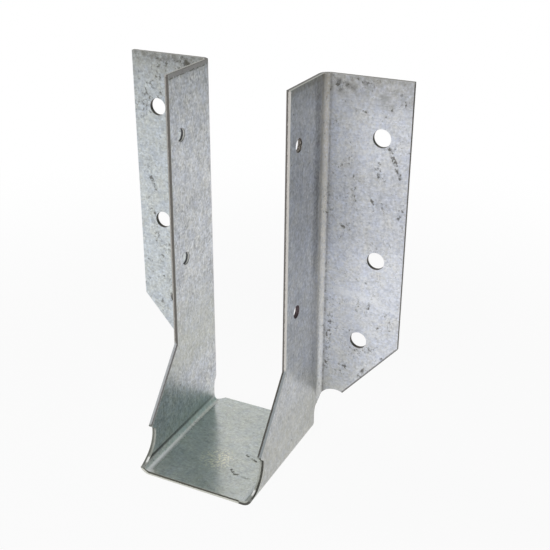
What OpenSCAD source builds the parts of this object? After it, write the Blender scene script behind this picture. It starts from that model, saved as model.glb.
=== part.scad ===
// Face-mount joist hanger, folded from one steel sheet. Millimetres, +Z up.
// It stands on its seat at z = 0. The header face is the flanges' back, on +Y,
// and the joist drops in between the side plates from above.

/* [Timber] */
// clear width between the side plates, for a planed joist 38 thick
joist_gap = 39.7; // [38:0.1:64]
// overall height above the underside of the seat
height = 130.2; // [115:0.1:180]
// how far the seat reaches out from the header
seat_depth = 53; // [48:0.5:75]

/* [Sheet] */
// sheet thickness with its zinc, 16 gauge
sheet = 1.5; // [1:0.1:2]
// inner radius of the bends between side plate and flange
flange_bend = 1.7; // [1:0.1:2.5]
// inner radius of the bends between side plate and seat
seat_bend = 2.1; // [1:0.1:3]

/* [Side plates] */
// depth of a side plate at its top, from the header
plate_depth = 26.6; // [24:0.1:36]
// how much deeper the plate has become where its front edge starts to flare
plate_taper = 1.4; // [0:0.1:3]
// height where the front edge starts to flare towards the seat
flare_start = 37.1; // [32:0.1:50]
// height of the flare's lower tip
tip_height = 14.6; // [13:0.1:18]
// how far the tip stays behind the seat's front edge
tip_back = 6.6; // [5:0.1:9]

/* [Relief cuts] */
// radius of the relief cut between the flare's tip and the seat
front_relief_r = 9.9; // [8:0.1:10.5]
// height of that relief's centre
front_relief_z = 12; // [11:0.1:13]
// radius of the round relief at the foot of each flange
notch_r = 6.4; // [4:0.1:8]
// height of that round relief's centre
notch_z = 11.3; // [10:0.1:14]
// how far the foot of a side plate stays in front of the header face
foot_back = 4; // [3.2:0.1:6]
// how far the seat's back edge stays in front of the header face
seat_back = 1.2; // [0.5:0.1:2.5]

/* [Flanges] */
// flange width, from the outer face of its side plate
flange_width = 28.6; // [26:0.1:45]
// height of the flange's outer lower corner
chamfer_z = 39.2; // [34:0.1:50]
// height where the sloping lower edge would meet the round relief
chamfer_foot_z = 16.6; // [15:0.1:20]
// how far out of the side plate's outer face that meeting point is
chamfer_foot_x = 9.1; // [8:0.1:14]

/* [Nail holes] */
// diameter of the header nail holes in the flanges
header_hole_d = 6; // [4:0.1:7]
// distance of the upper and middle header holes from the flange's outer edge
header_hole_edge = 9.3; // [7:0.1:14]
// distance of the upper header holes from the top
upper_hole_drop = 18.5; // [10:0.1:25]
// spacing of the middle header holes below the upper ones
middle_hole_drop = 41.5; // [30:0.1:50]
// height of the lower header holes
lower_hole_z = 39.6; // [37.5:0.1:45]
// distance of the lower header holes from the flange's outer edge
lower_hole_edge = 14.1; // [13:0.1:16]
// diameter of the joist nail holes in the side plates
joist_hole_d = 4.5; // [3:0.1:6]
// distance of the joist holes from the header face
joist_hole_back = 20.5; // [12:0.1:21]
// distance of the right plate's upper joist hole from the top
right_hole_drop = 18; // [10:0.1:24]
// spacing of the right plate's lower joist hole below its upper one
right_hole_step = 56.2; // [46:0.1:62]
// distance of the left plate's upper joist hole from the top
left_hole_drop = 20.4; // [10:0.1:24]
// spacing of the left plate's lower joist hole below its upper one
left_hole_step = 43; // [36:0.1:45]

/* [Hidden] */
half_gap = joist_gap / 2;
plate_out = half_gap + sheet;
flange_x = plate_out + flange_width;
header_y = seat_depth / 2;
front_y = -seat_depth / 2;
bend_x = plate_out + flange_bend;
bend_y = header_y - sheet - flange_bend;
seat_bend_x = half_gap - seat_bend;
seat_bend_z = sheet + seat_bend;
tip_y = front_y + tip_back;
flare_y = header_y - plate_depth - plate_taper;
// how far the round relief bites into the flange bend
notch_bite = 1.45;
notch_x = bend_x - notch_bite + notch_r;
// how far the flange bend runs on below the round relief's centre
bend_tail = 3.3;
bend_foot_z = notch_z - bend_tail;
foot_y = header_y - foot_back;
foot_relief_r = 5.5;
foot_relief_z = 6.8;
// where the seat's back corner starts and ends its slope, from the bend's start
corner_slope_start = -1.1;
corner_slope_end = 1.3;
// how far the front relief's centre lies in front of the seat
front_relief_out = 1.2;
// the step under the flare's tip falls this much over this run
step_fall = 10;
step_run = 11.5;
upper_hole_z = height - upper_hole_drop;
middle_hole_z = upper_hole_z - middle_hole_drop;
header_hole_x = flange_x - header_hole_edge;
lower_hole_x = flange_x - lower_hole_edge;
joist_hole_y = header_y - joist_hole_back;
bend_fn = 96;
hole_fn = 64;
spare = 2;

module on_right_and_left() {
    children();
    mirror([1, 0, 0]) children();
}

// flat seat under the joist, up to the start of its two bends
module seat() {
    translate([-seat_bend_x, front_y, 0])
        cube([2 * seat_bend_x, seat_depth, sheet]);
}

// quarter round from the seat up into the right side plate
module seat_corner() {
    translate([seat_bend_x, header_y, seat_bend_z])
        rotate([90, 0, 0])
            rotate([0, 0, -90])
                rotate_extrude(angle = 90, $fn = bend_fn)
                    translate([seat_bend, 0])
                        square([sheet, seat_depth]);
}

// front edge of a side plate seen from the side: taper, flare, seat
module plate_outline() {
    flare_slope = (flare_y - tip_y) / (flare_start - tip_height);
    reach_z = tip_height - (tip_y - front_y) / flare_slope;
    polygon([
        [header_y, -spare],
        [front_y, -spare],
        [front_y, reach_z],
        [flare_y, flare_start],
        [header_y - plate_depth, height],
        [header_y, height]
    ]);
}

// flat side plate on the right, before its outline is cut
module side_plate() {
    translate([half_gap, front_y, seat_bend_z])
        cube([sheet, bend_y - front_y, height - seat_bend_z]);
}

// quarter round from the right side plate out into its flange
module flange_corner() {
    translate([bend_x, bend_y, bend_foot_z])
        rotate([0, 0, 90])
            rotate_extrude(angle = 90, $fn = bend_fn)
                translate([flange_bend, 0])
                    square([sheet, height - bend_foot_z]);
}

// flange nailed to the header, with its lower corner sloped off
module flange() {
    chamfer_slope = (chamfer_z - chamfer_foot_z) / (flange_x - plate_out - chamfer_foot_x);
    low_x = plate_out + chamfer_foot_x - (chamfer_foot_z - notch_z) / chamfer_slope;
    translate([0, header_y, 0])
        rotate([90, 0, 0])
            linear_extrude(height = sheet)
                polygon([
                    [bend_x, notch_z],
                    [low_x, notch_z],
                    [flange_x, chamfer_z],
                    [flange_x, height],
                    [bend_x, height]
                ]);
}

// round relief where the flange bend ends, cut through the flange
module flange_notch() {
    translate([notch_x, header_y + spare, notch_z])
        rotate([90, 0, 0])
            cylinder(h = foot_back + 2 * spare, r = notch_r, $fn = bend_fn);
}

// back edge of the plate's foot, curving up into the round relief
module foot_relief() {
    translate([half_gap - spare, header_y + foot_relief_r - foot_back, foot_relief_z])
        rotate([0, 90, 0])
            cylinder(h = sheet + 2 * spare, r = foot_relief_r, $fn = bend_fn);
}

// keeps the upper half of the curve, so that the seat below stays whole
module foot_curve() {
    intersection() {
        foot_relief();
        translate([half_gap - 2 * spare, header_y - foot_back - spare, foot_relief_z])
            cube([sheet + 8 * spare, foot_back + 8 * spare, 2 * foot_relief_r]);
    }
}

// cut behind the seat, with the corner beside the bend sloped off
module seat_back_cut() {
    translate([0, 0, -spare])
        linear_extrude(height = foot_relief_z + spare)
            polygon([
                [-spare, header_y - seat_back],
                [seat_bend_x + corner_slope_start, header_y - seat_back],
                [seat_bend_x + corner_slope_end, foot_y],
                [flange_x, foot_y],
                [flange_x, header_y + spare],
                [-spare, header_y + spare]
            ]);
}

// shallow relief between the flare's tip and the seat's front corner
module front_relief() {
    translate([-flange_x, 0, 0])
        rotate([90, 0, 90])
            linear_extrude(height = 2 * flange_x)
                intersection() {
                    translate([front_y - front_relief_out, front_relief_z])
                        circle(r = front_relief_r, $fn = bend_fn);
                    polygon([
                        [tip_y, tip_height],
                        [tip_y + step_run, tip_height - step_fall],
                        [tip_y + step_run, -spare],
                        [tip_y - 2 * step_run, -spare],
                        [tip_y - 2 * step_run, tip_height + 2 * step_fall]
                    ]);
                }
}

module header_holes() {
    for (spot = [
        [header_hole_x, upper_hole_z],
        [header_hole_x, middle_hole_z],
        [lower_hole_x, lower_hole_z]
    ])
        translate([spot[0], header_y + spare, spot[1]])
            rotate([90, 0, 0])
                cylinder(h = sheet + 2 * spare, d = header_hole_d, $fn = hole_fn);
}

// joist nail holes are staggered, so that nails from both sides miss each other
module joist_holes(low_x, drop, step) {
    for (z = [height - drop, height - drop - step])
        translate([low_x, joist_hole_y, z])
            rotate([0, 90, 0])
                cylinder(h = sheet + 2 * spare, d = joist_hole_d, $fn = hole_fn);
}

module folded_sheet() {
    seat();
    on_right_and_left() {
        seat_corner();
        side_plate();
        flange_corner();
        flange();
    }
}

module outline_block() {
    translate([-flange_x - spare, 0, 0])
        rotate([90, 0, 90])
            linear_extrude(height = 2 * flange_x + 2 * spare)
                plate_outline();
}

module hanger() {
    color([0.66, 0.68, 0.70])
        difference() {
            intersection() {
                folded_sheet();
                outline_block();
            }
            front_relief();
            on_right_and_left() {
                flange_notch();
                foot_curve();
                seat_back_cut();
                header_holes();
            }
            joist_holes(half_gap - spare, right_hole_drop, right_hole_step);
            joist_holes(-plate_out - spare, left_hole_drop, left_hole_step);
        }
}

hanger();
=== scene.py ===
import bpy
import bmesh
import math
from mathutils import Vector, Matrix


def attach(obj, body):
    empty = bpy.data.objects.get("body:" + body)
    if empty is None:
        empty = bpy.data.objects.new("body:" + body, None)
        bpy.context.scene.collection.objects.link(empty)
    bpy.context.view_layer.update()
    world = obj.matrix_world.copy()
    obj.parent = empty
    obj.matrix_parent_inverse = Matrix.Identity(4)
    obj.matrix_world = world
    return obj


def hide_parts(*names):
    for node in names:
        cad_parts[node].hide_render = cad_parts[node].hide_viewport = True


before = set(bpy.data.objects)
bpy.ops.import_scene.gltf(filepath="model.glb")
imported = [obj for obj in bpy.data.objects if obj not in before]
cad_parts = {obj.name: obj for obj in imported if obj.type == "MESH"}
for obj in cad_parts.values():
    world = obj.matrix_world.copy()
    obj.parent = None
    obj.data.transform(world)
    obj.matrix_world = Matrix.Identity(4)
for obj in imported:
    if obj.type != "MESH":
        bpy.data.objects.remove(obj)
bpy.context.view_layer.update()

scene = bpy.context.scene
scene.view_settings.view_transform = "Standard"
print("frame loaded")


def toLinear(hexColour):
    parts = [int(hexColour[i:i + 2], 16) / 255 for i in (1, 3, 5)]
    return tuple(c / 12.92 if c <= 0.04045 else ((c + 0.055) / 1.055) ** 2.4 for c in parts) + (1.0,)


def addNode(tree, kind, settings):
    # a setting is a property, or an input by name or number, that takes a value, a hex colour,
    # or the node or socket that feeds it; a Mix node's factor is input 0, its numbers are 2 and 3
    # and its colours 6 and 7
    node = tree.nodes.new("ShaderNode" + kind)
    for name, value in settings.items():
        if isinstance(name, str) and hasattr(node, name):
            setattr(node, name, value)
        elif isinstance(value, bpy.types.Node):
            tree.links.new(next(socket for socket in value.outputs if socket.enabled), node.inputs[name])
        elif isinstance(value, bpy.types.NodeSocket):
            tree.links.new(value, node.inputs[name])
        elif isinstance(value, str):
            node.inputs[name].default_value = toLinear(value)
        else:
            node.inputs[name].default_value = value
    return node


# for a MapRange that eases in and out
smooth = {"interpolation_type": "SMOOTHSTEP"}

view = {
    "azimuth": 26.04,        # degrees round from the front, towards the right
    "elevation": 25.31,
    "roll": 0.23,
    "aim": (0.00829, 0.01662, 0.06204),  # metres
    "distance": 0.3212,
    "nearest": 0.01,
    "lens": 62.5,            # mm
    "sensor": 36,
}


def placeCamera():
    azimuth, elevation, roll = (math.radians(view[k]) for k in ("azimuth", "elevation", "roll"))
    back = Vector((math.sin(azimuth) * math.cos(elevation), -math.cos(azimuth) * math.cos(elevation),
                   math.sin(elevation)))
    right = Vector((math.cos(azimuth), math.sin(azimuth), 0))
    up = back.cross(right)
    data = bpy.data.cameras.new("camera")
    data.lens = view["lens"]
    data.sensor_width = view["sensor"]
    data.clip_start = view["nearest"]
    camera = bpy.data.objects.new("camera", data)
    scene.collection.objects.link(camera)
    rightTurned = right * math.cos(roll) + up * math.sin(roll)
    upTurned = up * math.cos(roll) - right * math.sin(roll)
    turn = Matrix((rightTurned, upTurned, back)).transposed().to_4x4()
    turn.translation = Vector(view["aim"]) + back * view["distance"]
    camera.matrix_world = turn
    scene.camera = camera


placeCamera()
print("camera placed")

sheet = {
    "halfGap": 0.01985,      # inner face of a side plate, from the middle
    "thickness": 0.0015,
    "seatBend": 0.0021,      # inner radius of the seat bends
    "flangeBend": 0.0017,    # inner radius of the flange bends
    "headerFace": 0.0265,    # back face of the flanges
    "slack": 0.0001,         # how far out of a seat bend a place still counts as on it
    "mergeWithin": 0.000002,
    "flatWithin": 0.4,       # degrees between triangles of one flat face
    "cutAngle": 50,          # degrees between two faces, over which their edge is a sheared one
    "edgeRound": 0.0003,     # rounding of the sheared edges
    "edgeSegments": 3,
}


def sheetPlace(p):
    # place on the flat blank (along the strip, across it), the sheet's own normal there,
    # and the depth from mid-sheet, positive towards the seat's underside and the plates' outer faces
    side = 1 if p.x >= 0 else -1
    x, y, z = abs(p.x), p.y, p.z
    mid = sheet["thickness"] / 2
    plateOut = sheet["halfGap"] + sheet["thickness"]
    seatX, seatZ = sheet["halfGap"] - sheet["seatBend"], sheet["thickness"] + sheet["seatBend"]
    bendX = plateOut + sheet["flangeBend"]
    bendY = sheet["headerFace"] - sheet["thickness"] - sheet["flangeBend"]
    seatRadius, flangeRadius = sheet["seatBend"] + mid, sheet["flangeBend"] + mid
    if z < seatZ and x <= seatX:
        return side * x, y, Vector((0, 0, 1)), mid - z
    if z < seatZ and x < plateOut + sheet["slack"]:
        arm = Vector((x - seatX, 0, z - seatZ))
        normal = arm.normalized()
        along = side * (seatX + seatRadius * math.atan2(arm.x, -arm.z))
        return along, y, Vector((side * normal.x, 0, normal.z)), arm.length - sheet["seatBend"] - mid
    along = side * (seatX + seatRadius * math.pi / 2 + z - seatZ)
    if y <= bendY:
        return along, y, Vector((side, 0, 0)), x - sheet["halfGap"] - mid
    if x <= bendX:
        arm = Vector((x - bendX, y - bendY, 0))
        normal = arm.normalized()
        across = bendY + flangeRadius * math.atan2(arm.y, -arm.x)
        return along, across, Vector((side * normal.x, normal.y, 0)), flangeRadius - arm.length
    across = bendY + flangeRadius * math.pi / 2 + x - bendX
    return along, across, Vector((0, -1, 0)), sheet["headerFace"] - mid - y


def pieceOfSheet(name, bm):
    # every vertex keeps its place on the flat blank, in millimetres, for the zinc's patterns
    blank = bm.verts.layers.float_vector.new("blank")
    for vert in bm.verts:
        along, across, _, depth = sheetPlace(vert.co)
        vert[blank] = Vector((along, across, depth)) * 1000
    mesh = bpy.data.meshes.new(name)
    bm.to_mesh(mesh)
    bm.free()
    piece = bpy.data.objects.new(name, mesh)
    scene.collection.objects.link(piece)
    return piece


def foldedSheet():
    # the solid with its sheared edges rounded; cutFace is 0 on the rolled faces and 1 on the cuts
    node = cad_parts["hanger"]
    bm = bmesh.new()
    bm.from_mesh(node.data)
    bmesh.ops.remove_doubles(bm, verts=bm.verts[:], dist=sheet["mergeWithin"])
    bmesh.ops.dissolve_limit(bm, angle_limit=math.radians(sheet["flatWithin"]), verts=bm.verts[:],
                             edges=bm.edges[:])
    cutAngle = math.radians(sheet["cutAngle"])
    cutEdges = [e for e in bm.edges if len(e.link_faces) == 2 and e.calc_face_angle() > cutAngle]
    bmesh.ops.bevel(bm, geom=cutEdges, offset=sheet["edgeRound"], offset_type="OFFSET", affect="EDGES",
                    segments=sheet["edgeSegments"], profile=0.5, material=-1, clamp_overlap=True)
    cut = bm.faces.layers.float.new("cutFace")
    for face in bm.faces:
        sheetNormal = sheetPlace(face.calc_center_median())[2]
        face.smooth = True
        face[cut] = 1 - abs(face.normal.dot(sheetNormal))
    piece = pieceOfSheet("foldedSheet", bm)
    even = piece.modifiers.new("even shading", "WEIGHTED_NORMAL")
    even.mode = "FACE_AREA"
    even.keep_sharp = False
    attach(piece, "root")
    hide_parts("hanger")
    return piece


tear = {
    # name, height of the joist hole in the right plate, and how far the lip reaches into it
    "lips": [("upperHoleLip", 0.1122, 0.0016), ("lowerHoleLip", 0.056, 0.0009)],
    "back": 0.006,           # the holes' place towards the header
    "radius": 0.00225,       # of the holes
    "face": 0.0201,          # where a lip starts, from the middle of the joist
    "thickness": 0.00045,
    "root": 0.00005,         # how far it stands in at its ends
    "sunk": 0.0001,          # how far it is set into the sheet
    "lean": 0.00008,         # how much less its outer side reaches in
    "round": (75, 200),      # degrees round the hole, where it starts and how far it runs
    "steps": 14,
    "mean": 0.75,            # of its reach, about which the ragged edge waves
    "waves": ((0.25, 7.3, 0), (0.15, 3.1, 1)),  # share, turn in a step and start
    "ripple": (0.00012, 5.1),  # metres sideways, and turn in a step
}


def tornLip(name, height, reach):
    # metal torn aside by the punch and left standing in a joist hole of the right plate: a thin bar
    # spun part of the way round the hole, its inner side then drawn in to a ragged edge
    centre = Vector((0, tear["back"], height))
    start, sweep = (math.radians(angle) for angle in tear["round"])
    near, far = tear["face"], tear["face"] + tear["thickness"]
    inner, outer = tear["radius"] - tear["root"], tear["radius"] + tear["sunk"]
    innerFar = inner + tear["lean"]
    bm = bmesh.new()
    corners = [(near, outer), (near, inner), (far, innerFar), (far, outer)]
    bar = bm.faces.new([bm.verts.new((x, radius, 0)) for x, radius in corners])
    bmesh.ops.rotate(bm, verts=bm.verts[:], cent=(0, 0, 0), matrix=Matrix.Rotation(start, 3, "X"))
    bmesh.ops.translate(bm, verts=bm.verts[:], vec=centre)
    bmesh.ops.spin(bm, geom=[*bar.verts, *bar.edges, bar], cent=centre, axis=(1, 0, 0), dvec=(0, 0, 0),
                   angle=sweep, steps=tear["steps"])
    sideways, sideTurn = tear["ripple"]
    for vert in bm.verts:
        spoke = Vector((0, vert.co.y - centre.y, vert.co.z - centre.z))
        step = round((math.atan2(spoke.z, spoke.y) % math.tau - start) / sweep * tear["steps"])
        ragged = tear["mean"]
        for share, turn, first in tear["waves"]:
            ragged += share * math.sin(turn * step + first)
        if spoke.length < (innerFar + outer) / 2:
            vert.co -= spoke.normalized() * reach * math.sin(math.pi * step / tear["steps"]) * ragged
        vert.co.x += sideways * math.sin(sideTurn * step)
    bmesh.ops.recalc_face_normals(bm, faces=bm.faces[:])
    cut = bm.faces.layers.float.new("cutFace")
    for face in bm.faces:
        face[cut] = 1.0
    lip = pieceOfSheet(name, bm)
    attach(lip, "root")
    return lip


hanger = foldedSheet()
lips = [tornLip(*lip) for lip in tear["lips"]]
print("sheet folded", len(hanger.data.polygons), "faces")

strip = {
    "end": 148.8,            # mm along the blank from mid-seat to its end
    "front": -26.5,          # mm across the blank, its front edge
    "bend": (22.9, 27.4),    # mm across the blank, where a flange bend starts and ends
    "seatBend": (17.7, 22.3),  # mm along the blank, where a seat bend starts and ends
    "slope": ((35.2, 34.5), (57.8, 54.0)),  # mm along and across, a flange's sloping lower edge
    "stretch": 8,            # of the depth, so that the patterns differ between the sheet's two faces
    "face": 6.0,             # a face's stretched depth, + outside and - inside
    "turn": 0.2,             # mm from mid-sheet, over which inside becomes outside
    "middle": 5.0,           # mm from mid-seat, over which left becomes right
    # noise of the films that lie on the sheet: blotches of 3.2 mm, and a mottling of about 1 mm
    "film": {"Scale": 1.6 / 3.2, "Detail": 5.0, "Roughness": 0.7},
    "mottle": {"Scale": 1.4, "Detail": 3.0, "Roughness": 0.6},
    "mottleShare": 0.6,
    "shade": {"From Min": 0.4, "From Max": 0.6, "To Min": 0.72, "To Max": 1.22},  # of a mottled film
}


def band(tree, value, start, full, fading, gone):
    # 0 up to start, 1 from full to fading, 0 again from gone
    rise = addNode(tree, "MapRange", {**smooth, "Value": value, "From Min": start, "From Max": full})
    fall = addNode(tree, "MapRange", {**smooth, "Value": value, "From Min": gone, "From Max": fading})
    return addNode(tree, "Math", {"operation": "MULTIPLY", 0: rise, 1: fall})


def overlap(tree, *shares):
    # what is left where several areas or coats lie over each other
    result = shares[0]
    for share in shares[1:]:
        result = addNode(tree, "Math", {"operation": "MULTIPLY", 0: result, 1: share})
    return result


def offSegment(tree, place, start, end, side):
    # how far a place on the blank is from the line between two points of one face
    start = Vector((*start, side * strip["face"]))
    run = Vector((*end, side * strip["face"])) - start
    fromStart = addNode(tree, "VectorMath", {"operation": "SUBTRACT", 0: place, 1: start})
    part = addNode(tree, "VectorMath", {"operation": "DOT_PRODUCT", 0: fromStart,
                   1: run / run.length_squared})
    held = addNode(tree, "Math", {"operation": "ADD", "use_clamp": True, 0: part, 1: 0.0})
    nearest = addNode(tree, "VectorMath", {"operation": "SCALE", 0: run, "Scale": held})
    return addNode(tree, "VectorMath", {"operation": "DISTANCE", 0: fromStart, 1: nearest})


def blankPlace(tree):
    # the flat blank's own millimetres, the parts of the hanger as shares from 0 to 1, and the films' noise
    at = {}
    blank = addNode(tree, "Attribute", {"attribute_name": "blank"}).outputs["Vector"]
    at["place"] = addNode(tree, "Mapping", {"Vector": blank, "Scale": (1, 1, strip["stretch"])})
    axes = addNode(tree, "SeparateXYZ", {0: blank})
    at["signed"], at["across"], at["depth"] = axes.outputs
    at["along"] = addNode(tree, "Math", {"operation": "ABSOLUTE", 0: at["signed"]})
    start, end = strip["bend"]
    at["flange"] = addNode(tree, "MapRange", {**smooth, "Value": at["across"],
                           "From Min": start, "From Max": end})
    at["outside"] = addNode(tree, "MapRange", {"Value": at["depth"], "From Min": -strip["turn"],
                            "From Max": strip["turn"]})
    at["inside"] = addNode(tree, "Math", {"operation": "SUBTRACT", 0: 1.0, 1: at["outside"]})
    at["right"] = addNode(tree, "MapRange", {"Value": at["signed"], "From Min": -strip["middle"],
                          "From Max": strip["middle"]})
    at["left"] = addNode(tree, "Math", {"operation": "SUBTRACT", 0: 1.0, 1: at["right"]})
    at["film"] = addNode(tree, "TexNoise", {"Vector": at["place"], **strip["film"]})
    mottle = addNode(tree, "TexNoise", {"Vector": at["place"], **strip["mottle"]})
    at["mottle"] = addNode(tree, "Mix", {0: strip["mottleShare"], 2: at["film"], 3: mottle})
    at["shade"] = addNode(tree, "MapRange", {"Value": at["mottle"], **strip["shade"]})
    return at


zinc = {
    "clean": "#c3c6cb",
    "cool": "#b2bac8",
    "warm": "#c6c5b9",
    "tintShare": 0.4,
    "warmth": {"From Min": 0.42, "From Max": 0.78},
    "fleckWarmth": 0.2,
    # the hue of the plates with the seat, the left flange and the right flange
    "hue": ("#fffefe", "#fcfffe", "#fdfcff"),
    # a noise's Scale comes from a size in mm: its blotches are 1.6 cells across, its grains 0.6
    "grain": {"Scale": 0.6 / 0.5, "Detail": 2.5, "Roughness": 0.6},  # left by the temper mill's rolls
    "fleck": {"Scale": 1 / 0.75},  # light and dark flecks of the skin-passed coating
    "shake": (0.5, 0.5, 0),                  # mm by which the grain roughens flecks, dashes and lines
    "dash": (1 / 2.2, 1 / 0.5, 1),  # drawn-out crystals, mm along the strip and across it
    "sway": {"Scale": 0.3, "Detail": 1.0},  # their rows sway over about 5 mm
    "swayBy": (0, 2.2, 0),                   # mm
    "line": (1 / 0.35, 1 / 5.0, 1),  # fine cross lines, mm along and across
    "lineNoise": {"Scale": 1.0, "Detail": 2.0},
    "cloud": {"Scale": 1.6 / 15.0, "Detail": 3.0, "Roughness": 0.55},  # large dull patches
    "patch": {"Scale": 1.6 / 4.0, "Detail": 2.0},  # and small ones
    "drift": {"Scale": 0.22, "Detail": 4.0, "Roughness": 0.7},  # of the tint, over about 7 mm
    # how much each pattern shows on the plates with the seat, and on the flanges
    "shares": {"fleck": (0.28, 0.27), "grain": (0.7, 0.72), "dash": (0.2, 0.05),
               "line": (0.0, 0.42), "cloud": (0.3, 0.25), "patch": (0.25, 0.2)},
    "contrast": (1.1, 1.35, 1.0),  # of the patterns on the seat, inside the plates, and everywhere outside
    "plateTone": (0.99, 0.965, 0.84),  # on the seat, inside the plates, and outside both
    "plateFrom": 8.0,                # mm up from the seat bend's start, over which a plate's own tone sets in
    "flangeTone": (1.0, 1.21),  # left and right; the right flange's higher tone is painted light
    # a painted shade, standing in for a dark reflection, outside the plates beside the flange bends: mm across
    # from a bend's start, how dark it is everywhere, mm along the blank where it is deeper, and by how much
    "cornerAcross": (-7.0, -3.5, -2.0, -0.5),
    "cornerShade": 0.1,
    "cornerDeeper": (74.0, 92.0, 118.0, 133.0),
    "cornerMore": 0.24,
    "darkerAlong": (86.0, 99.0, 113.0, 127.0),  # mm along the blank, where the right flange is darker
    "darkerAlongShade": -0.18,
    "bendCoatAndPaintedLight": (27.5, 29.0, 31.0, 37.0),  # mm across the blank, where it is painted lighter beside its bend: painted light
    "bendCoatAndPaintedLightShade": 0.16,
    "metallic": {"To Min": 0.8, "To Max": 0.35},  # clean, and under grime
    "roughness": {"To Min": 0.30, "To Max": 0.36},  # from fleck to fleck
    "grimeRough": 0.55,
    "seatStart": {"From Min": 22.0, "From Max": 16.0},  # mm along the blank
    "seatMetallic": -0.14,           # the seat is a little duller and smoother
    "seatRough": -0.12,
    "pitDepth": -0.35,               # of the relief
    "relief": 0.008,                 # mm
}


def zincPatterns(tree, at):
    place = at["place"]
    grain = addNode(tree, "TexNoise", {"Vector": place, **zinc["grain"]})
    shaken = addNode(tree, "VectorMath", {"operation": "MULTIPLY_ADD", 0: grain.outputs["Color"],
                     1: zinc["shake"], 2: place})
    flecks = addNode(tree, "TexVoronoi", {"Vector": shaken, **zinc["fleck"]})
    sway = addNode(tree, "TexNoise", {"Vector": place, **zinc["sway"]})
    swayed = addNode(tree, "VectorMath", {"operation": "MULTIPLY_ADD", 0: sway.outputs["Color"],
                     1: zinc["swayBy"], 2: shaken})
    dashPlace = addNode(tree, "Mapping", {"Vector": swayed, "Scale": zinc["dash"]})
    dashes = addNode(tree, "TexVoronoi", {"Vector": dashPlace, "Scale": 1.0})
    linePlace = addNode(tree, "Mapping", {"Vector": shaken, "Scale": zinc["line"]})
    return {
        "fleck": addNode(tree, "SeparateColor", {0: flecks.outputs["Color"]}),
        "grain": grain,
        "dash": addNode(tree, "SeparateColor", {0: dashes.outputs["Color"]}),
        "line": addNode(tree, "TexNoise", {"Vector": linePlace, **zinc["lineNoise"]}),
        "cloud": addNode(tree, "TexNoise", {"Vector": place, **zinc["cloud"]}),
        "patch": addNode(tree, "TexNoise", {"Vector": place, **zinc["patch"]}),
    }


def plateTones(tree, at, onPlate):
    seatTone, insideTone, outsideTone = zinc["plateTone"]
    inside = addNode(tree, "Mix", {0: onPlate, 2: seatTone, 3: insideTone})
    # outside the plates, a painted shade beside the flange bends
    bendStart = strip["bend"][0]
    corner = band(tree, at["across"], *(bendStart + step for step in zinc["cornerAcross"]))
    depth = addNode(tree, "Math", {"operation": "MULTIPLY_ADD",
                    0: band(tree, at["along"], *zinc["cornerDeeper"]),
                    1: zinc["cornerMore"], 2: zinc["cornerShade"]})
    shade = addNode(tree, "Math", {"operation": "MULTIPLY_ADD", 0: overlap(tree, corner, depth), 1: -1.0,
                    2: 1.0})
    return addNode(tree, "Mix", {0: at["outside"], 2: inside, 3: overlap(tree, outsideTone, shade)})


def flangeTones(tree, at):
    # the right flange is painted lighter than the left, and lighter still beside its bend: painted light
    leftTone, rightTone = zinc["flangeTone"]
    darkerAlong = band(tree, at["along"], *zinc["darkerAlong"])
    rightTone = addNode(tree, "Math", {"operation": "MULTIPLY_ADD", 0: darkerAlong,
                        1: zinc["darkerAlongShade"], 2: rightTone})
    bendCoatAndPaintedLight = band(tree, at["across"], *zinc["bendCoatAndPaintedLight"])
    rightTone = addNode(tree, "Math", {"operation": "MULTIPLY_ADD", 0: bendCoatAndPaintedLight,
                        1: zinc["bendCoatAndPaintedLightShade"], 2: rightTone})
    return addNode(tree, "Mix", {0: at["right"], 2: leftTone, 3: rightTone})


def zincTone(tree, at, patterns):
    # how light the coat is: a level for each part of the sheet, and the patterns about it
    bendStart = strip["seatBend"][0]
    onPlate = addNode(tree, "MapRange", {"Value": at["along"], "From Min": bendStart,
                      "From Max": bendStart + zinc["plateFrom"]})
    tone = addNode(tree, "Mix", {0: at["flange"], 2: plateTones(tree, at, onPlate),
                   3: flangeTones(tree, at)})
    seatContrast, insideContrast, outsideContrast = zinc["contrast"]
    inside = addNode(tree, "Mix", {0: onPlate, 2: seatContrast, 3: insideContrast})
    contrast = addNode(tree, "Mix", {0: at["outside"], 2: inside, 3: outsideContrast})
    for name, (plateShare, flangeShare) in zinc["shares"].items():
        share = addNode(tree, "MapRange", {"Value": at["flange"], "To Min": plateShare,
                        "To Max": flangeShare})
        middle = addNode(tree, "Math", {"operation": "SUBTRACT", 0: patterns[name], 1: 0.5})
        tone = addNode(tree, "Math", {"operation": "MULTIPLY_ADD", 0: middle,
                       1: overlap(tree, share, contrast), 2: tone})
    return tone


def zincSkin(tree, at, patterns):
    # bluish and yellowish patches, a hue for each part, and the tone
    drift = addNode(tree, "TexNoise", {"Vector": at["place"], **zinc["drift"]})
    tint = addNode(tree, "Math", {"operation": "MULTIPLY_ADD", 0: patterns["fleck"].outputs["Green"],
                   1: zinc["fleckWarmth"], 2: drift})
    warmth = addNode(tree, "MapRange", {"Value": tint, **zinc["warmth"]})
    tinted = addNode(tree, "Mix", {"data_type": "RGBA", 0: warmth, 6: zinc["cool"], 7: zinc["warm"]})
    skin = addNode(tree, "Mix", {"data_type": "RGBA", 0: zinc["tintShare"], 6: zinc["clean"], 7: tinted})
    plateHue, leftHue, rightHue = zinc["hue"]
    flangeHue = addNode(tree, "Mix", {"data_type": "RGBA", 0: at["right"], 6: leftHue, 7: rightHue})
    hue = addNode(tree, "Mix", {"data_type": "RGBA", 0: at["flange"], 6: plateHue, 7: flangeHue})
    hued = addNode(tree, "VectorMath", {"operation": "MULTIPLY", 0: skin, 1: hue})
    return addNode(tree, "VectorMath", {"operation": "SCALE", 0: hued,
                   "Scale": zincTone(tree, at, patterns)})


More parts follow.
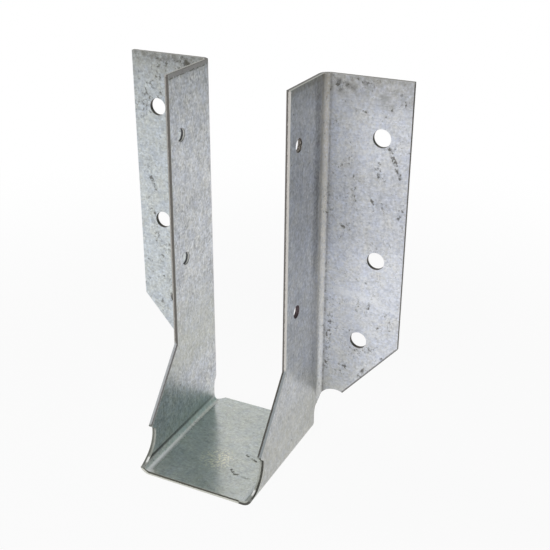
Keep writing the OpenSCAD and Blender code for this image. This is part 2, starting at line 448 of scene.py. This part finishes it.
marks = {
    "pit": "#4a473d",
    "pitShare": (0.78, 0.82),  # left and right
    "pits": {"Scale": 1.6 / 2.0, "Detail": 3.0, "Roughness": 0.6, "Distortion": 0.2},  # blots of 2 mm
    "areas": {"Scale": 1.6 / 12.0, "Detail": 2.0},  # of 12 mm, where the blots gather
    "gathered": {"From Min": 0.45, "From Max": 0.68},
    "mostGathered": {"To Min": 0.3, "To Max": 0.85},  # on the plates and on the flanges
    "pitLevel": {"To Min": 0.72, "To Max": 0.56},  # of the blots' noise, where few and where many show
    "pitEdge": 0.06,
    "halo": 0.3,                     # share of the faint stain round a blot
    "haloEdge": 0.08,
    "grit": {"Scale": 0.6 / 0.25, "Detail": 1.0},  # specks of 0.25 mm
    "gritLevel": {"To Min": 0.76, "To Max": 0.64},
    "gritShare": 0.7,
    # scuffs: start and end on the blank as (mm along, mm across), which face, their reach in mm and how thick
    "scuffs": [
        ((127.5, 47.4), (118.5, 51.4), 1, 1.2, 1.4),
        ((146.0, 29.8), (145.6, 33.5), 1, 1.8, 0.95),
        ((121.6, 43.8), (116.8, 45.4), 1, 2.0, 1.0),
        ((122.4, 35.0), (119.4, 29.6), 1, 1.9, 1.0),
        ((112.2, 35.8), (109.4, 36.2), 1, 1.2, 1.2),
        ((110.0, 42.2), (108.6, 43.0), 1, 0.9, 1.5),
        ((99.9, 32.0), (98.6, 33.4), 1, 0.8, 1.7),
        ((98.6, 33.4), (94.6, 32.4), 1, 0.8, 1.2),
        ((109.2, 52.7), (104.8, 51.7), 1, 1.3, 1.0),
        ((131.6, 43.6), (130.6, 46.8), 1, 1.4, 1.0),
        ((138.0, 38.3), (138.1, 39.7), 1, 0.7, 1.5),
        ((66.0, 29.6), (44.8, 28.4), 1, 1.8, 1.0),
        ((56.0, 45.4), (52.8, 38.0), 1, 2.4, 1.0),
        ((67.4, 50.5), (59.4, 50.7), 1, 0.9, 1.0),
        ((76.4, 44.8), (69.0, 42.0), 1, 1.0, 1.0),
        ((47.6, 42.8), (44.4, 40.8), 1, 1.4, 1.2),
        ((-108.8, 50.6), (-99.6, 47.2), 1, 1.4, 1.1),
        ((-146.6, 33.0), (-145.9, 31.6), 1, 1.5, 2.2),
        ((-145.0, 43.0), (-128.0, 52.0), 1, 5.0, 0.75),
        ((-96.0, 50.0), (-70.0, 46.0), 1, 2.5, 0.8),
        ((-144.0, 36.0), (-118.0, 36.0), 1, 3.0, 0.8),
        ((6.8, -13.4), (9.0, -15.0), -1, 0.8, 1.9),
        ((9.0, -15.0), (15.2, -15.6), -1, 0.7, 1.3),
        ((7.7, -3.7), (12.3, -5.8), -1, 0.7, 1.3),
    ],
    "scuffCore": 0.3,                # of a scuff's reach, out to which it is full
    "smudge": "#5c5b56",
    # soft dark stains, given like the scuffs but with their share
    "smudges": [
        ((146.6, 30.0), (144.2, 30.4), 1, 1.5, 0.7),
        ((146.2, 31.5), (145.2, 35.0), 1, 1.6, 0.4),
        ((147.0, 38.4), (146.2, 41.0), 1, 1.1, 0.5),
        ((143.0, 44.5), (140.0, 47.0), 1, 2.2, 0.25),
        ((-146.6, 33.2), (-145.7, 31.4), 1, 1.5, 0.6),
        ((-147.6, 30.0), (-147.6, 52.0), 1, 3.0, 0.4),
        ((142.0, 19.5), (128.0, 20.5), 1, 3.0, 0.45),
    ],
    "reflectionBand": "#e6e8ec",
    # painted reflection: soft light bands across the right flange
    "reflectionBands": [
        ((76.0, 28.5), (74.2, 46.0), 1, 2.2, 0.75),
        ((73.0, 46.0), (72.0, 54.0), 1, 1.8, 0.5),
        ((68.0, 31.0), (63.0, 44.0), 1, 5.0, 0.2),
    ],
    "softCore": 0.2,
    "softBreak": {"From Min": 0.42, "From Max": 0.55, "To Min": 0.25},
}


def pitsAndScuffs(tree, at):
    # pits of dross and handling gather in some areas and along the scuffs, with finer specks among them
    place = at["place"]
    areas = addNode(tree, "TexNoise", {"Vector": place, **marks["areas"]})
    most = addNode(tree, "MapRange", {"Value": at["flange"], **marks["mostGathered"]})
    gather = addNode(tree, "MapRange", {"Value": areas, "To Max": most, **marks["gathered"]})
    for start, end, side, reach, thick in marks["scuffs"]:
        off = offSegment(tree, place, start, end, side)
        near = addNode(tree, "MapRange", {**smooth, "Value": off,
                       "From Min": reach * marks["scuffCore"], "From Max": reach,
                       "To Min": thick, "To Max": 0.0})
        gather = addNode(tree, "Math", {"operation": "MAXIMUM", 0: gather, 1: near})
    level = addNode(tree, "MapRange", {"clamp": False, "Value": gather, **marks["pitLevel"]})
    below = addNode(tree, "Math", {"operation": "SUBTRACT", 0: level, 1: marks["haloEdge"]})
    above = addNode(tree, "Math", {"operation": "ADD", 0: level, 1: marks["pitEdge"]})
    blots = addNode(tree, "TexNoise", {"Vector": place, **marks["pits"]})
    pit = addNode(tree, "MapRange", {**smooth, "Value": blots, "From Min": level, "From Max": above})
    halo = addNode(tree, "MapRange", {**smooth, "Value": blots,
                   "From Min": below, "From Max": level, "To Max": marks["halo"]})
    leftShare, rightShare = marks["pitShare"]
    share = addNode(tree, "Mix", {0: at["right"], 2: leftShare, 3: rightShare})
    grit = addNode(tree, "TexNoise", {"Vector": place, **marks["grit"]})
    gritLevel = addNode(tree, "MapRange", {"Value": gather, **marks["gritLevel"]})
    gritAbove = addNode(tree, "Math", {"operation": "ADD", 0: gritLevel, 1: marks["pitEdge"]})
    speck = addNode(tree, "MapRange", {"Value": grit, "From Min": gritLevel, "From Max": gritAbove,
                    "To Max": marks["gritShare"]})
    spots = addNode(tree, "Math", {"operation": "MAXIMUM", 0: overlap(tree, pit, share), 1: speck})
    return addNode(tree, "Math", {"operation": "MAXIMUM", 0: spots, 1: halo})


def softMarks(tree, at, places):
    soft = 0.0
    for start, end, side, reach, share in places:
        off = offSegment(tree, at["place"], start, end, side)
        near = addNode(tree, "MapRange", {**smooth, "Value": off,
                       "From Min": reach, "From Max": reach * marks["softCore"], "To Max": share})
        soft = addNode(tree, "Math", {"operation": "MAXIMUM", 0: soft, 1: near})
    broken = addNode(tree, "MapRange", {"Value": at["film"], **marks["softBreak"]})
    return overlap(tree, soft, broken)


bendFilm = {
    "low": "#c4c3bf",        # rubbed coat of the flange bends, pale low down and browner higher up
    "high": "#a39f97",
    "height": {"From Min": 65.0, "From Max": 125.0},  # mm along the blank
    "across": (-1.1, 0.2, -0.8, -0.2),  # mm from the bend's start, twice, and from its end, twice
    "coat": {"From Min": 0.42, "From Max": 0.6, "To Min": 0.35},
    "foot": {"From Min": 44.0, "From Max": 66.0, "To Min": 0.35},  # thinner up to here, mm along the blank
    "line": "#6f6b66",       # dark and broken, where the bend ends
    "lineAcross": (-0.5, -0.2, 0.1, 0.5),  # mm from the bend's end
    "lineCoat": {"From Min": 0.4, "From Max": 0.6, "To Min": 0.7, "To Max": 0.1},
}


def bendFilms(tree, at):
    start, end = strip["bend"]
    first, full, fading, gone = bendFilm["across"]
    bendCoatAndPaintedLight = band(tree, at["across"], start + first, start + full, end + fading, end + gone)
    coat = addNode(tree, "MapRange", {"Value": at["mottle"], **bendFilm["coat"]})
    foot = addNode(tree, "MapRange", {"Value": at["along"], **bendFilm["foot"]})
    height = addNode(tree, "MapRange", {"Value": at["along"], **bendFilm["height"]})
    colour = addNode(tree, "Mix", {"data_type": "RGBA", 0: height, 6: bendFilm["low"],
                     7: bendFilm["high"]})
    shaded = addNode(tree, "VectorMath", {"operation": "SCALE", 0: colour, "Scale": at["shade"]})
    line = band(tree, at["across"], *(end + step for step in bendFilm["lineAcross"]))
    broken = addNode(tree, "MapRange", {"Value": at["film"], **bendFilm["lineCoat"]})
    return [(overlap(tree, bendCoatAndPaintedLight, coat, foot, at["outside"]), shaded),
            (overlap(tree, line, broken, at["outside"]), bendFilm["line"])]


footFilm = {
    "inside": "#d7dece",     # olive dirt of the seat, paler inside and duller underneath
    "outside": "#9f9d8a",
    "insideFade": (34.0, 17.0),  # mm along the blank, over which it fades out up the plates
    "outsideFade": (52.0, 28.0),
    "coat": {"From Min": 0.35, "From Max": 0.65, "To Min": 0.15, "To Max": 0.42},
    "thicker": 1.3,          # outside
    "low": "#b2b3a4",        # thin brownish film low on the plates inside
    "lowAlong": (38.0, 50.0, 52.0, 82.0),
    "lowCoat": {"From Min": 0.35, "From Max": 0.65, "To Min": 0.15, "To Max": 0.6},
}


def footFilms(tree, at):
    insideGone, insideFull = footFilm["insideFade"]
    outsideGone, outsideFull = footFilm["outsideFade"]
    gone = addNode(tree, "Mix", {0: at["outside"], 2: insideGone, 3: outsideGone})
    full = addNode(tree, "Mix", {0: at["outside"], 2: insideFull, 3: outsideFull})
    reach = addNode(tree, "MapRange", {**smooth, "Value": at["along"],
                    "From Min": gone, "From Max": full})
    coat = addNode(tree, "MapRange", {"Value": at["film"], **footFilm["coat"]})
    thicker = addNode(tree, "Mix", {0: at["outside"], 2: 1.0, 3: footFilm["thicker"]})
    colour = addNode(tree, "Mix", {"data_type": "RGBA", 0: at["outside"], 6: footFilm["inside"],
                     7: footFilm["outside"]})
    low = band(tree, at["along"], *footFilm["lowAlong"])
    lowCoat = addNode(tree, "MapRange", {"Value": at["film"], **footFilm["lowCoat"]})
    return [(overlap(tree, reach, coat, thicker), colour),
            (overlap(tree, low, lowCoat, at["inside"]), footFilm["low"])]


seatBendFilm = {
    "frostDark": "#606260",  # frosted coat where the seat bends were stretched
    "frostLight": "#c2c3be",
    "frostAlong": (0.1, 0.6, -1.2, -0.2),  # mm from the bend's start, twice, and from its end, twice
    "coat": {"From Min": 0.42, "From Max": 0.6, "To Max": 0.7},
    "seatHighlight": "#f0f4f5",     # painted highlight: a bright line along the bend's inside, towards the front
    "seatHighlightAlong": (-0.9, 0.7, 1.0, 2.0),  # mm from the bend's start
    "seatHighlightFront": {"From Min": 4.0, "From Max": -16.0},  # mm across the blank
    "creaseShade": "#2f3331",     # painted shade: a dark line where the plates begin
    "creaseShadeAlong": (-1.1, -0.3, 0.4, 0.9),  # mm from the bend's end
    "creaseShadeFront": {"From Min": 22.0, "From Max": strip["front"], "To Min": 0.25, "To Max": 0.95},
}


def seatBendFilms(tree, at):
    start, end = strip["seatBend"]
    first, full, fading, gone = seatBendFilm["frostAlong"]
    frost = band(tree, at["along"], start + first, start + full, end + fading, end + gone)
    coat = addNode(tree, "MapRange", {"Value": at["mottle"], **seatBendFilm["coat"]})
    colour = addNode(tree, "Mix", {"data_type": "RGBA", 0: at["shade"], 6: seatBendFilm["frostDark"],
                     7: seatBendFilm["frostLight"]})
    # a painted highlight along the bend's inside, brighter towards the front
    seatHighlight = band(tree, at["along"], *(start + step for step in seatBendFilm["seatHighlightAlong"]))
    seatHighlightFront = addNode(tree, "MapRange", {"Value": at["across"], **seatBendFilm["seatHighlightFront"]})
    # a painted shade where the plates begin, deeper towards the front
    creaseShade = band(tree, at["along"], *(end + step for step in seatBendFilm["creaseShadeAlong"]))
    creaseShadeFront = addNode(tree, "MapRange", {"Value": at["across"], **seatBendFilm["creaseShadeFront"]})
    return [(overlap(tree, frost, coat), colour),
            (overlap(tree, seatHighlight, seatHighlightFront, at["inside"]), seatBendFilm["seatHighlight"]),
            (overlap(tree, creaseShade, creaseShadeFront, at["inside"]), seatBendFilm["creaseShade"])]


speckles = {
    "colour": "#f3eeda",     # pale crumbs on the seat
    "spot": (-0.5, -10.0),   # mm along and across the blank
    "reach": 8.5,
    "core": 0.3,             # of the reach, out to which they are full
    "crumbs": {"Scale": 1.3, "Detail": 2.0},  # of about 1 mm
    "crumbLevel": {"From Min": 0.5, "From Max": 0.6},
}


def seatSpeckles(tree, at):
    spot = (*speckles["spot"], -strip["face"])
    off = addNode(tree, "VectorMath", {"operation": "DISTANCE", 0: at["place"], 1: spot})
    near = addNode(tree, "MapRange", {**smooth, "Value": off,
                   "From Min": speckles["reach"], "From Max": speckles["reach"] * speckles["core"]})
    crumbs = addNode(tree, "TexNoise", {"Vector": at["place"], **speckles["crumbs"]})
    crumb = addNode(tree, "MapRange", {"Value": crumbs, **speckles["crumbLevel"]})
    return [(overlap(tree, near, crumb), speckles["colour"])]


endFilm = {
    "colour": "#7c7769",     # brown-grey at the strip's ends: a thin veil outside, and thicker at the rim
    "veil": {"From Min": strip["end"] - 13.0, "From Max": strip["end"] - 3.0},
    "veilShare": (0.25, 0.55),  # on the plates and on the flanges
    "rim": {"From Min": strip["end"] - 3.0, "From Max": strip["end"] - 0.8},
    "rimShare": (0.35, 0.75),  # inside and outside
    "coat": {"From Min": 0.38, "From Max": 0.64, "To Min": 0.35},
    "uneven": 1.6,           # mm by which the next two wander
    "rolled": "#a39f9e",     # the edge inside, rolled over by the shear
    "rolledAlong": {"From Min": strip["end"] - 0.4, "From Max": strip["end"] - 0.1},
    "ragged": "#5b594c",     # dark line beside it
    "raggedAlong": (0.9, 0.6, 0.4, 0.1),  # mm before the end
    "raggedCoat": {"From Min": 0.42, "From Max": 0.56, "To Min": 0.15},
}


def endFilms(tree, at):
    plateVeil, flangeVeil = endFilm["veilShare"]
    veilShare = addNode(tree, "Mix", {0: at["flange"], 2: plateVeil, 3: flangeVeil})
    veil = addNode(tree, "MapRange", {**smooth, "Value": at["along"],
                   "To Max": veilShare, **endFilm["veil"]})
    insideRim, outsideRim = endFilm["rimShare"]
    rimShare = addNode(tree, "Mix", {0: at["outside"], 2: insideRim, 3: outsideRim})
    rim = addNode(tree, "MapRange", {**smooth, "Value": at["along"],
                  "To Max": rimShare, **endFilm["rim"]})
    both = addNode(tree, "Math", {"operation": "MAXIMUM", 0: overlap(tree, veil, at["outside"]), 1: rim})
    coat = addNode(tree, "MapRange", {"Value": at["film"], **endFilm["coat"]})
    uneven = addNode(tree, "Math", {"operation": "MULTIPLY_ADD", 0: at["film"], 1: endFilm["uneven"],
                     2: at["along"]})
    rolled = addNode(tree, "MapRange", {"Value": uneven, **endFilm["rolledAlong"]})
    ragged = band(tree, uneven, *(strip["end"] - off for off in endFilm["raggedAlong"]))
    broken = addNode(tree, "MapRange", {"Value": at["mottle"], **endFilm["raggedCoat"]})
    return [(overlap(tree, both, coat), endFilm["colour"]),
            (overlap(tree, rolled, at["inside"]), endFilm["rolled"]),
            (overlap(tree, ragged, broken, at["inside"]), endFilm["ragged"])]


def grimeAndPaintedLightFilms(tree, at, skin):
    # each film lies over the ones before it, and the first four leave the metal its shine
    # the light bands across the right flange are a painted reflection
    reflectionBands = [(softMarks(tree, at, marks["reflectionBands"]), marks["reflectionBand"])]
    smudges = [(softMarks(tree, at, marks["smudges"]), marks["smudge"])]
    for share, colour in footFilms(tree, at) + seatSpeckles(tree, at) + reflectionBands:
        skin = addNode(tree, "Mix", {"data_type": "RGBA", 0: share, 6: skin, 7: colour})
    coveredShare = 0.0
    for share, colour in bendFilms(tree, at) + seatBendFilms(tree, at) + endFilms(tree, at) + smudges:
        skin = addNode(tree, "Mix", {"data_type": "RGBA", 0: share, 6: skin, 7: colour})
        coveredShare = addNode(tree, "Math", {"operation": "MAXIMUM", 0: coveredShare, 1: share})
    return skin, coveredShare


shear = {
    # each kind of cut: its burnished colour, its torn colour, and the mm from mid-sheet
    # outside of which the punch or shear left it burnished
    "cuts": {
        "right": ("#cac7c3", "#66625f", -0.1),
        "left": ("#aaa7a3", "#615e5a", 0.25),
        "flare": ("#94999c", "#4c4a46", -0.1),
        "leftFlare": ("#b0b2b5", "#6c6a6a", -0.1),
        "back": ("#a6a29e", "#463f38", 0.7),
        "end": ("#b8b6b2", "#6c6965", 0.1),
        "relief": ("#a6a8a2", "#45443f", 0.1),  # here the burnished side is the inner one
        "leftRelief": ("#9fa19b", "#6c6d67", 0.1),
        "seat": ("#c4c4bc", "#43433a", 0.1),
        "hole": ("#b3aca6", "#38332e", 0.0),  # a joist hole of the right plate, torn in facets
        "lowHole": ("#74656a", "#453a3e", 0.0),
        "leftHole": ("#c6c6c2", "#46464a", 0.0),  # punched from inside
    },
    # mm over which each kind sets in, along the blank unless it says across
    "flareFrom": {"From Min": 56.7, "From Max": 55.7},  # downwards
    "reliefFrom": {"From Min": 34.0, "From Max": 33.0},  # downwards, the relief cuts beside the seat
    "backFrom": {"From Min": 3.0, "From Max": 3.5},  # across, every cut further back
    "endFrom": {"From Min": strip["end"] - 0.6, "From Max": strip["end"] - 0.3},
    "seatFront": (-21.3, -20.3, 16.0, 17.0),
    "holesAcross": (3.3, 3.4, 9.2, 9.3),
    "holesAlong": (60.0, 61.0, 145.0, 146.0),
    "lowHoleFrom": {"From Min": 100.0, "From Max": 95.0},  # downwards
    "wander": 0.7,           # mm by which the grain shifts the line between burnished and torn
    "facet": 0.3,            # share of the flecks that are torn facets in the right plate's holes
    "leftBand": (0.3, 0.6),  # mm inside of mid-sheet and reach of the burnished band in the left holes
    "burnish": {"From Min": 0.28, "From Max": 0.42},
    "glint": "#ffffff",      # painted highlight on the relief cuts, where the seat bend ends inside
    "glintAlong": (21.0, 21.5, 22.1, 22.7),
    "face": {"From Min": 0.35, "From Max": 0.75},  # of cutFace, over which a face is a cut
    "rimFace": (0.02, 0.03, 0.35, 0.5),  # of cutFace, the rounding between the two
    "rim": "#c4c8c2",        # painted highlight on the rounding, inside the relief and along the front edges
    "frontRimHighlight": 0.75,
    "slopeRim": "#66645f",   # dark along the flanges' sloping edges
    "slopeLine": {"From Min": 0.6, "From Max": 0.35, "To Max": 0.8},  # mm off the edge
    "metallic": {"To Min": 0.4, "To Max": 0.75},  # torn and burnished
    "roughness": 0.5,
}


def cutAreas(tree, at):
    # where each kind of cut is, the later ones over the earlier ones
    along, across, left = at["along"], at["across"], at["left"]
    flare = addNode(tree, "MapRange", {"Value": along, **shear["flareFrom"]})
    relief = addNode(tree, "MapRange", {"Value": along, **shear["reliefFrom"]})
    hole = overlap(tree, band(tree, across, *shear["holesAcross"]), band(tree, along, *shear["holesAlong"]))
    low = addNode(tree, "MapRange", {"Value": along, **shear["lowHoleFrom"]})
    return {
        "left": left,
        "flare": flare,
        "leftFlare": overlap(tree, flare, left),
        "back": addNode(tree, "MapRange", {"Value": across, **shear["backFrom"]}),
        "end": addNode(tree, "MapRange", {"Value": along, **shear["endFrom"]}),
        "relief": relief,
        "leftRelief": overlap(tree, relief, left),
        "seat": band(tree, at["signed"], *shear["seatFront"]),
        "hole": hole,
        "lowHole": overlap(tree, hole, low),
        "leftHole": overlap(tree, hole, left),
    }


def shearedEdge(tree, at, patterns):
    # a burnished band on one side and torn steel behind it, wider or narrower by the cut
    areas = cutAreas(tree, at)
    bright, torn, level = shear["cuts"]["right"]
    for name, area in areas.items():
        areaBright, areaTorn, areaLevel = shear["cuts"][name]
        bright = addNode(tree, "Mix", {"data_type": "RGBA", 0: area, 6: bright, 7: areaBright})
        torn = addNode(tree, "Mix", {"data_type": "RGBA", 0: area, 6: torn, 7: areaTorn})
        level = addNode(tree, "Mix", {0: area, 2: level, 3: areaLevel})

    # the reliefs beside the seat were cut from the other side
    notSeat = addNode(tree, "Math", {"operation": "SUBTRACT", 0: 1.0, 1: areas["seat"]})
    besideSeat = overlap(tree, areas["relief"], notSeat)
    turned = addNode(tree, "Math", {"operation": "MULTIPLY_ADD", 0: besideSeat, 1: -2.0, 2: 1.0})
    wandering = addNode(tree, "Math", {"operation": "MULTIPLY_ADD", 0: patterns["grain"],
                        1: shear["wander"], 2: overlap(tree, at["depth"], turned)})
    over = addNode(tree, "Math", {"operation": "SUBTRACT", 0: wandering, 1: level})

    # the joist holes: facets on the right, one burnished band on the left
    facet = addNode(tree, "Math", {"operation": "SUBTRACT", 0: patterns["fleck"], 1: shear["facet"]})
    middle, reach = shear["leftBand"]
    fromBand = addNode(tree, "Math", {"operation": "ADD", 0: at["depth"], 1: middle})
    offBand = addNode(tree, "Math", {"operation": "ABSOLUTE", 0: fromBand})
    inBand = addNode(tree, "Math", {"operation": "SUBTRACT", 0: reach, 1: offBand})
    inHole = addNode(tree, "Mix", {0: at["left"], 2: facet, 3: inBand})
    over = addNode(tree, "Mix", {0: areas["hole"], 2: over, 3: inHole})
    burnish = addNode(tree, "MapRange", {"Value": over, **shear["burnish"]})
    edge = addNode(tree, "Mix", {"data_type": "RGBA", 0: burnish, 6: torn, 7: bright})
    # a painted highlight where the seat bend ends inside
    glint = overlap(tree, band(tree, at["along"], *shear["glintAlong"]), notSeat, at["inside"])
    edge = addNode(tree, "Mix", {"data_type": "RGBA", 0: glint, 6: edge, 7: shear["glint"]})

    # painted highlights on the rims: both of the left front edge, but only the outer one of the right
    notBack = addNode(tree, "Math", {"operation": "SUBTRACT", 0: 1.0, 1: areas["back"]})
    frontShare = addNode(tree, "Mix", {0: at["left"], 2: at["outside"], 3: 1.0})
    front = overlap(tree, notBack, frontShare, shear["frontRimHighlight"])
    rimHighlight = addNode(tree, "Math", {"operation": "MAXIMUM", 0: overlap(tree, besideSeat, at["inside"]),
                       1: front})
    return edge, burnish, rimHighlight


def rimmedSkin(tree, at, skin, cutFace, rimHighlight):
    # a painted highlight along the rims' rounding, and a dark line along the flanges' sloping edges
    rim = band(tree, cutFace, *shear["rimFace"])
    rimmed = addNode(tree, "Mix", {"data_type": "RGBA", 0: overlap(tree, rim, rimHighlight), 6: skin,
                     7: shear["rim"]})
    start, end = strip["slope"]
    offSlope = offSegment(tree, at["place"], start, end, 1)
    slope = addNode(tree, "MapRange", {"Value": offSlope, **shear["slopeLine"]})
    return addNode(tree, "Mix", {"data_type": "RGBA", 0: slope, 6: rimmed, 7: shear["slopeRim"]})


def hotDipZinc():
    # hot-dip galvanised strip, skin-passed and folded: a dull silver grey with flecks and short dashes
    # where crystals were rolled flat, dross pits, rubbed bends, grime, and painted highlights, shade and
    # reflections; its sheared edges are bare
    material = bpy.data.materials.new("hotDipZinc")
    material.use_nodes = True
    tree = material.node_tree
    tree.nodes.clear()
    at = blankPlace(tree)
    patterns = zincPatterns(tree, at)
    filmedSkin, coveredShare = grimeAndPaintedLightFilms(tree, at, zincSkin(tree, at, patterns))
    pit = pitsAndScuffs(tree, at)
    pitted = addNode(tree, "Mix", {"data_type": "RGBA", 0: pit, 6: filmedSkin, 7: marks["pit"]})
    edge, burnish, rimHighlight = shearedEdge(tree, at, patterns)
    cutFace = addNode(tree, "Attribute", {"attribute_name": "cutFace"}).outputs["Fac"]
    cut = addNode(tree, "MapRange", {**smooth, "Value": cutFace, **shear["face"]})
    rimmed = rimmedSkin(tree, at, pitted, cutFace, rimHighlight)
    colour = addNode(tree, "Mix", {"data_type": "RGBA", 0: cut, 6: rimmed, 7: edge})

    # grime, the painted highlight and shade among the films, and pits are less of a metal, and rougher
    onSeat = addNode(tree, "MapRange", {"Value": at["along"], **zinc["seatStart"]})
    coveredShare = addNode(tree, "Math", {"operation": "MAXIMUM", 0: coveredShare, 1: overlap(tree, pit, pit)})
    skinMetal = addNode(tree, "MapRange", {"Value": coveredShare, **zinc["metallic"]})
    seatMetal = addNode(tree, "Math", {"operation": "MULTIPLY_ADD", 0: onSeat, 1: zinc["seatMetallic"],
                        2: skinMetal})
    edgeMetal = addNode(tree, "MapRange", {"Value": burnish, **shear["metallic"]})
    metallic = addNode(tree, "Mix", {0: cut, 2: seatMetal, 3: edgeMetal})
    fleckRough = addNode(tree, "MapRange", {"clamp": False, "Value": patterns["fleck"],
                         **zinc["roughness"]})
    seatRough = addNode(tree, "Math", {"operation": "MULTIPLY_ADD", 0: onSeat, 1: zinc["seatRough"],
                        2: fleckRough})
    skinRough = addNode(tree, "Mix", {0: coveredShare, 2: seatRough, 3: zinc["grimeRough"]})
    roughness = addNode(tree, "Mix", {0: cut, 2: skinRough, 3: shear["roughness"]})
    height = addNode(tree, "Math", {"operation": "MULTIPLY_ADD", 0: pit, 1: zinc["pitDepth"],
                     2: patterns["grain"]})
    relief = addNode(tree, "Bump", {"Height": height, "Strength": 1.0, "Distance": zinc["relief"] / 1000})
    shader = addNode(tree, "BsdfPrincipled", {"Base Color": colour, "Metallic": metallic,
                     "Roughness": roughness, "Normal": relief})
    addNode(tree, "OutputMaterial", {"Surface": shader})
    return material


coat = hotDipZinc()
for piece in [hanger, *lips]:
    piece.data.materials.append(coat)
print("zinc coated")

studio = {
    "floorSize": 3.0,
    "floorColour": "#f2f2f2",
    "shadowReach": {"From Min": 0.1, "From Max": 0.35},  # metres from the object, over which its shadow fades out
    "shadowShare": 0.07,
    # the paper as the metal shows it: it dims far off, and towards the front right, by the metres
    "paperFar": {"From Min": 0.4, "From Max": 0.66, "To Min": 1.12, "To Max": 0.33},
    "paperWay": (0.8, -0.6, 0),
    "paperRight": {"From Min": 0.1, "From Max": 0.17, "To Min": 1.0, "To Max": 0.8},
    # the room as the metal shows it
    "wall": "#fbfdfb",
    "darkWall": "#7ea8a1",           # behind on the right
    "darkRight": {"From Min": 0.12, "From Max": 0.42},  # how far to the right it begins and is full
    "darkBehind": {"From Min": -0.15, "From Max": 0.15},
    "ceiling": "#cccdc8",
    "ceilingHigh": {"From Min": 0.6, "From Max": 0.8},
    "fill": 0.12,                    # the room's own light
    # soft lamps: name, place, size and power
    "lamps": [("front", (0.25, -0.94, 0.33), (0.9, 0.4), 10.0),
              ("left", (-0.9, 0.1, 0.45), (0.4, 0.4), 2.0)],
    "lampAim": (0, 0, 0.06),
}


def whiteRays(tree):
    # 1 for what the lens, the metal and any glass look at directly, 0 for the light that bounces
    path = addNode(tree, "LightPath", {})
    seen = addNode(tree, "Math", {"operation": "MAXIMUM", 0: path.outputs["Is Camera Ray"],
                   1: path.outputs["Is Glossy Ray"]})
    seen = addNode(tree, "Math", {"operation": "MAXIMUM", 0: seen, 1: path.outputs["Is Transmission Ray"]})
    return path, seen


def paperStrength(tree, path, place, distance):
    # plain white for the lens, dimmed for the metal
    tone = addNode(tree, "MapRange", {**smooth, "Value": distance, **studio["paperFar"]})
    right = addNode(tree, "VectorMath", {"operation": "DOT_PRODUCT", 0: place, 1: studio["paperWay"]})
    dimmed = addNode(tree, "MapRange", {**smooth, "Value": right, **studio["paperRight"]})
    shown = addNode(tree, "Math", {"operation": "MULTIPLY", 0: tone, 1: dimmed})
    return addNode(tree, "Mix", {0: path.outputs["Is Camera Ray"], 2: shown, 3: 1.0})


def matteWhitePaper():
    # studio paper that burns out to white, but for the object's soft shadow
    material = bpy.data.materials.new("matteWhitePaper")
    material.use_nodes = True
    tree = material.node_tree
    tree.nodes.clear()
    path, seen = whiteRays(tree)
    place = addNode(tree, "TexCoord", {}).outputs["Object"]
    distance = addNode(tree, "VectorMath", {"operation": "LENGTH", 0: place})
    white = addNode(tree, "MapRange", {**smooth, "Value": distance,
                    "To Min": 1 - studio["shadowShare"], **studio["shadowReach"]})
    share = addNode(tree, "Math", {"operation": "MULTIPLY", 0: white, 1: seen})
    paper = addNode(tree, "Emission", {"Color": (1, 1, 1, 1),
                    "Strength": paperStrength(tree, path, place, distance)})
    diffuse = addNode(tree, "BsdfDiffuse", {"Color": studio["floorColour"]})
    mixed = addNode(tree, "MixShader", {0: share, 1: diffuse, 2: paper})
    addNode(tree, "OutputMaterial", {"Surface": mixed})
    return material


def paleFloor():
    bm = bmesh.new()
    bmesh.ops.create_grid(bm, x_segments=1, y_segments=1, size=studio["floorSize"])
    mesh = bpy.data.meshes.new("floor")
    bm.to_mesh(mesh)
    bm.free()
    mesh.materials.append(matteWhitePaper())
    floor = bpy.data.objects.new("floor", mesh)
    scene.collection.objects.link(floor)


def whiteWorld():
    world = bpy.data.worlds.new("world")
    scene.world = world
    world.use_nodes = True
    tree = world.node_tree
    tree.nodes.clear()
    path, seen = whiteRays(tree)
    strength = addNode(tree, "MapRange", {"Value": seen, "To Min": studio["fill"], "To Max": 1.0})
    way = addNode(tree, "TexCoord", {}).outputs["Generated"]
    axes = addNode(tree, "SeparateXYZ", {0: way})
    right = addNode(tree, "MapRange", {**smooth, "Value": axes.outputs["X"], **studio["darkRight"]})
    behind = addNode(tree, "MapRange", {**smooth, "Value": axes.outputs["Y"], **studio["darkBehind"]})
    high = addNode(tree, "MapRange", {**smooth, "Value": axes.outputs["Z"], **studio["ceilingHigh"]})
    corner = addNode(tree, "Math", {"operation": "MULTIPLY", 0: right, 1: behind})
    walls = addNode(tree, "Mix", {"data_type": "RGBA", 0: corner, 6: studio["wall"],
                    7: studio["darkWall"]})
    room = addNode(tree, "Mix", {"data_type": "RGBA", 0: high, 6: walls, 7: studio["ceiling"]})
    colour = addNode(tree, "Mix", {"data_type": "RGBA", 0: path.outputs["Is Glossy Ray"],
                     6: "#ffffff", 7: room})
    sky = addNode(tree, "Background", {"Color": colour, "Strength": strength})
    addNode(tree, "OutputWorld", {"Surface": sky})


def softbox(name, place, size, power):
    data = bpy.data.lights.new(name, "AREA")
    data.shape = "RECTANGLE"
    data.size, data.size_y = size
    data.energy = power
    lamp = bpy.data.objects.new(name, data)
    scene.collection.objects.link(lamp)
    lamp.visible_glossy = False  # the metal shows the white room, so the seat isn't burnt out from behind
    lamp.location = place
    lamp.rotation_euler = (Vector(studio["lampAim"]) - Vector(place)).to_track_quat("-Z", "Y").to_euler()


paleFloor()
whiteWorld()
for lamp in studio["lamps"]:
    softbox(*lamp)
print("floor and lights set")
